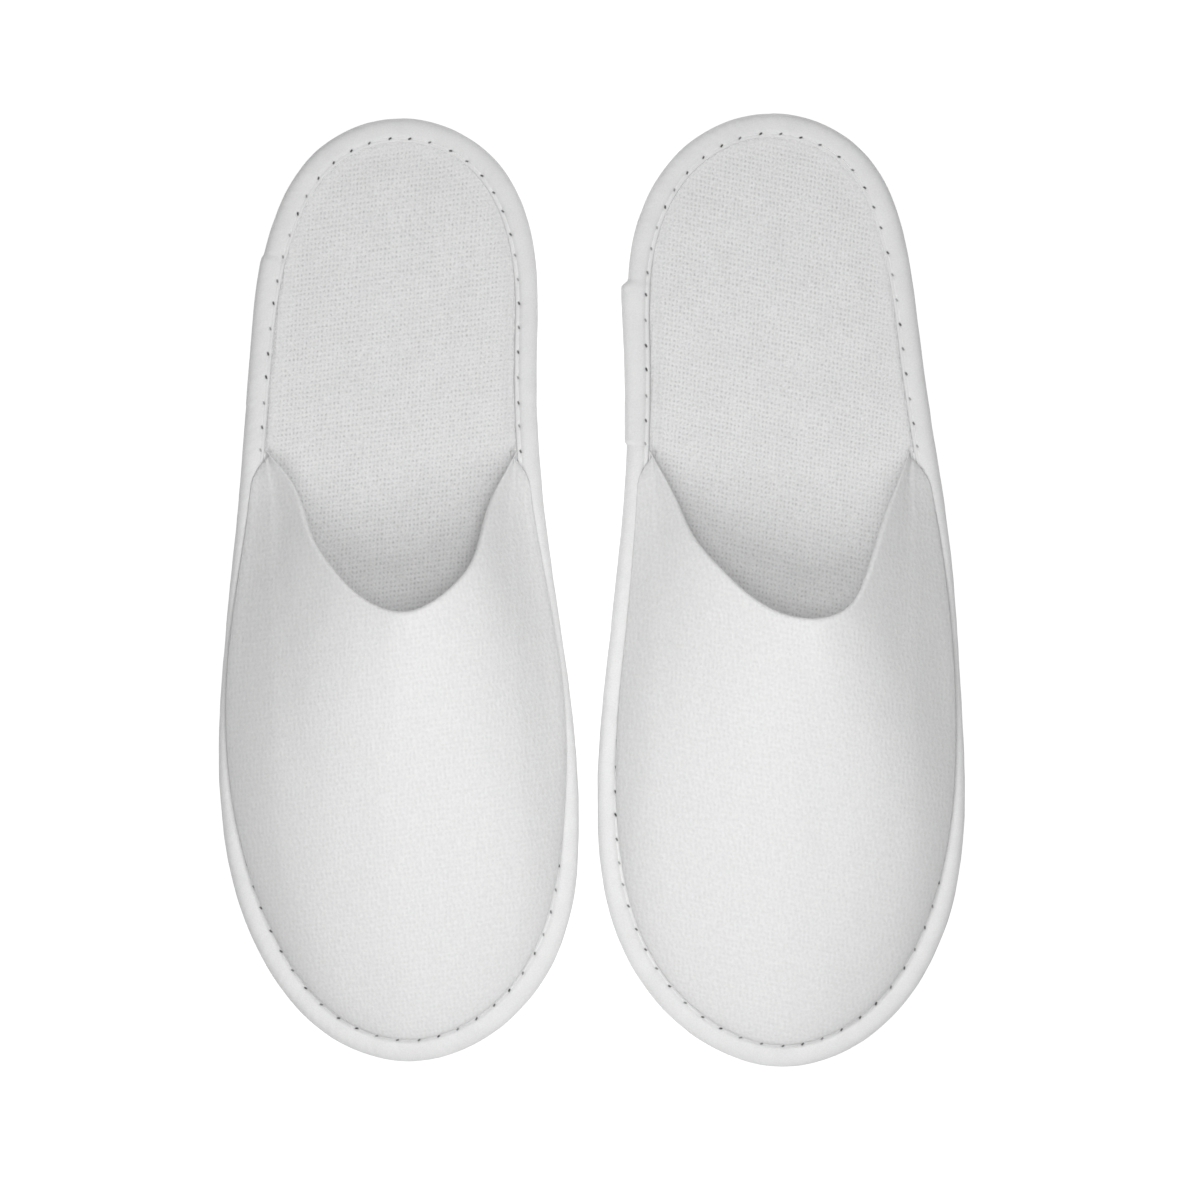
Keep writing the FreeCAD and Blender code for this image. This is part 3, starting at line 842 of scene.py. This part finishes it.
def closed_layer(slipper, name, outer, inner, material, node):
    """A closed sheet from its outer rows and as many inner rows."""
    section = np.concatenate([outer, inner[:, ::-1]], axis=1)
    section[0, :, 1] = TAIL_Y
    section[-1, :, 1] = TAIL_Y
    columns, rows = section.shape[:2]
    faces = strip_faces(columns, rows, False, True)
    for column, backwards in ((0, False), (columns - 1, True)):
        ring = column * rows
        for j in range(rows // 2 - 1):
            quad = (ring + j, ring + j + 1, ring + rows - 2 - j, ring + rows - 1 - j)
            faces.append(quad[::-1] if backwards else quad)
    piece = new_piece(name, slipper, section.reshape(-1, 3), faces, material, [node])
    bend_at_ball(piece)
    return piece


def upper(slipper):
    """The shell rolled over the opening's edge into a hem, the padding in it and the lining."""
    side = slipper.side
    wall = Wall(slipper)
    outer = [wall.face(0.0, 0.0), wall.roll(0.0, UPPER), wall.hem(UPPER)]
    inner = [wall.face(SHELL, 0.4), wall.roll(SHELL, UPPER - SHELL), wall.hem(UPPER - SHELL)]
    outer = np.concatenate(outer, axis=1)
    inner = np.concatenate(inner, axis=1)
    shell = closed_layer(
        slipper, f"{side}_velour_shell", outer, inner, velour(slipper), f"{side}_upper_shell"
    )

    rows = LOW_ROWS + HEM_ROWS - 1
    under_hem = np.arange(rows) >= LOW_ROWS - 3
    padding_depth = np.where(under_hem, UPPER - SHELL, SHELL + PADDING) - LAYER_GAP
    padding = closed_layer(
        slipper,
        f"{side}_padding",
        wall.face(SHELL + LAYER_GAP, 0.42, rows),
        wall.face(padding_depth, 0.68, rows),
        FOAM,
        f"{side}_upper_padding",
    )
    rows = LOW_ROWS - 2
    lining = closed_layer(
        slipper,
        f"{side}_lining",
        wall.face(SHELL + PADDING, 0.7, rows),
        wall.face(UPPER, FLANGE, rows),
        KNIT,
        f"{side}_upper_lining",
    )


for one in (RIGHT, LEFT):
    outsole(one)
    insole_foam(one)
    footbed(one)
    edge_binding(one)
    seam(one, "top_stitches", TOP_THREAD, -1, "needle_thread")
    seam(one, "under_stitches", UNDER_THREAD, 1, "bobbin_thread")
    upper(one)


# ---- Floor, light and camera --------------------------------------------------------

CAMERA_HEIGHT = 1.8
CAMERA_X = -0.0006
SENSOR_WIDTH = 36.0
VIEW_WIDTH = 0.3578
WORLD_LIGHT = 0.21
FLOOR_GREY = 0.3
FLOOR_GLOW = 0.88


def soft_box(name, size, location, energy):
    """A rectangular soft light aimed at the middle of the pair."""
    data = bpy.data.lights.new(name, "AREA")
    data.shape = "RECTANGLE"
    data.size, data.size_y = size
    data.energy = energy
    lamp = bpy.data.objects.new(name, data)
    bpy.context.scene.collection.objects.link(lamp)
    lamp.location = location
    lamp.rotation_euler = (-Vector(location)).to_track_quat("-Z", "Y").to_euler()


def studio():
    scene = bpy.context.scene
    scene.view_settings.view_transform = "Standard"
    world = bpy.data.worlds.new("studio")
    scene.world = world
    world.use_nodes = True
    world.node_tree.nodes["Background"].inputs["Color"].default_value = (1, 1, 1, 1)
    world.node_tree.nodes["Background"].inputs["Strength"].default_value = WORLD_LIGHT

    bpy.ops.mesh.primitive_plane_add(size=6, location=(0, 0, 0))
    floor = bpy.context.object
    floor.name = "floor"
    paper = Shader("white_paper", (FLOOR_GREY, FLOOR_GREY, FLOOR_GREY), 1.0)
    paper.surface.inputs["Emission Color"].default_value = (1, 1, 1, 1)
    paper.surface.inputs["Emission Strength"].default_value = FLOOR_GLOW
    floor.data.materials.append(paper.material)

    soft_box("overhead", (0.2, 0.3), (0.0, 0.06, 0.6), 1.7)
    soft_box("toe_side", (0.2, 0.4), (0.0, -0.45, 0.66), 1.93)

    camera_data = bpy.data.cameras.new("camera")
    camera_data.sensor_width = SENSOR_WIDTH
    camera_data.lens = SENSOR_WIDTH * (CAMERA_HEIGHT - TAPE_TOP * MM / 2) / VIEW_WIDTH
    camera_data.clip_start = 0.01
    camera = bpy.data.objects.new("camera", camera_data)
    scene.collection.objects.link(camera)
    camera.location = (CAMERA_X, 0.0, CAMERA_HEIGHT)
    scene.camera = camera


studio()
